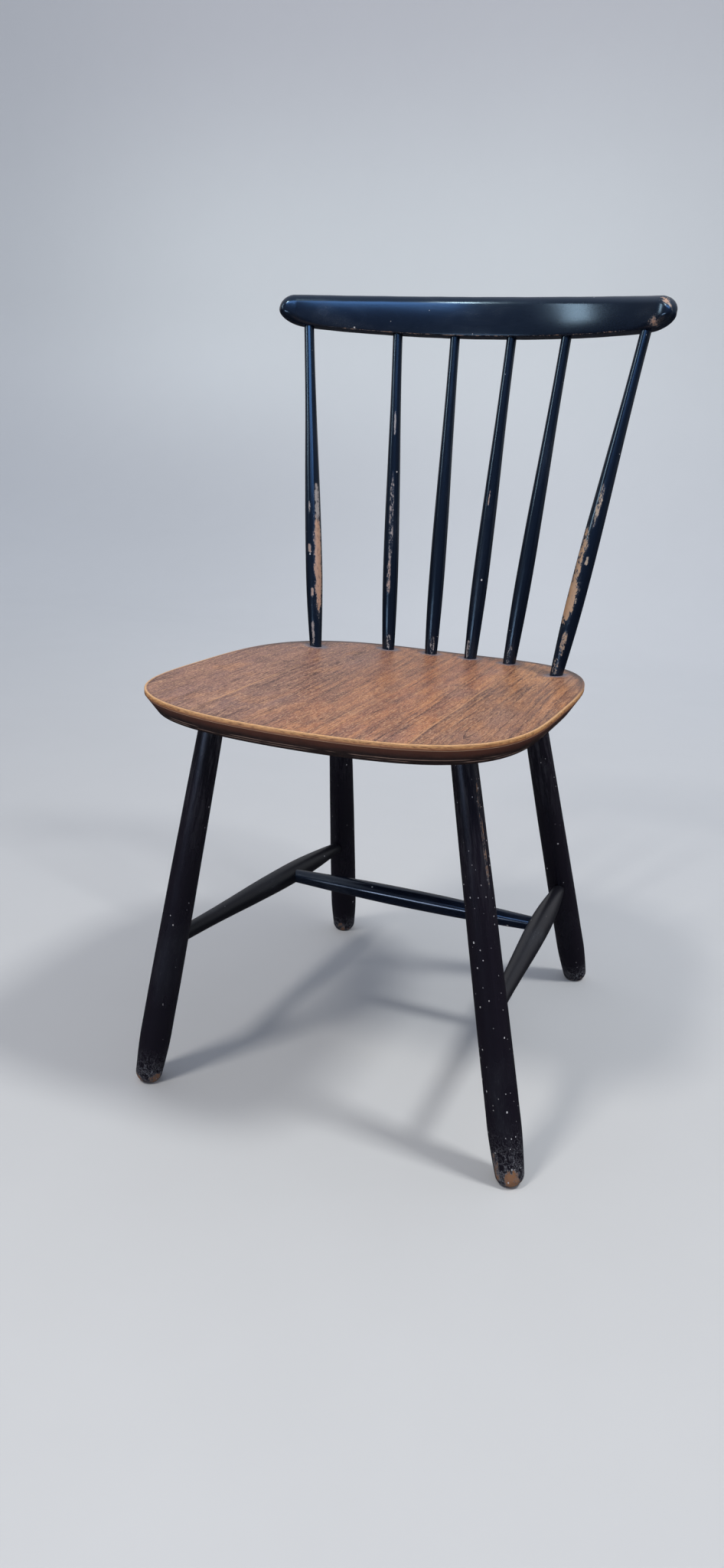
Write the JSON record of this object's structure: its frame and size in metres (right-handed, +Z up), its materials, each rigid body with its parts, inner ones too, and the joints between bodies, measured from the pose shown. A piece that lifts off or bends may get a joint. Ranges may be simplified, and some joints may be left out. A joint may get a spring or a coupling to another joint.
{
  "type": "spindle-back side chair",
  "caption": "Side chair with a shaped plywood seat, splayed turned legs joined by stretchers, and a spindle back under a curved crest rail; its black paint is worn and peeling.",
  "frame": {"origin": "on the floor, under the middle of the chair's bounding box", "axes": "+Z up, the sitter faces -Y, +X to the right of a viewer who faces the chair's front; x = 0 is the plane of symmetry"},
  "size_m": [0.4412, 0.5536, 0.8372],
  "materials": {
    "teak_plywood": "worn satin varnish on teak veneer, pale plies and a dark bevel at the edge",
    "black_painted_beech": "worn satin black paint, peeled to bare beech in places"
  },
  "bodies": {
    "root": {"seat": "teak_plywood", "crest_rail": "black_painted_beech", "spindle_left_outer": "black_painted_beech", "spindle_left_middle": "black_painted_beech", "spindle_left_inner": "black_painted_beech", "spindle_right_inner": "black_painted_beech", "spindle_right_middle": "black_painted_beech", "spindle_right_outer": "black_painted_beech", "leg_front_left": "black_painted_beech", "leg_front_right": "black_painted_beech", "leg_rear_left": "black_painted_beech", "leg_rear_right": "black_painted_beech", "side_stretcher_left": "black_painted_beech", "side_stretcher_right": "black_painted_beech", "cross_stretcher": "black_painted_beech"}
  },
  "joints": []
}
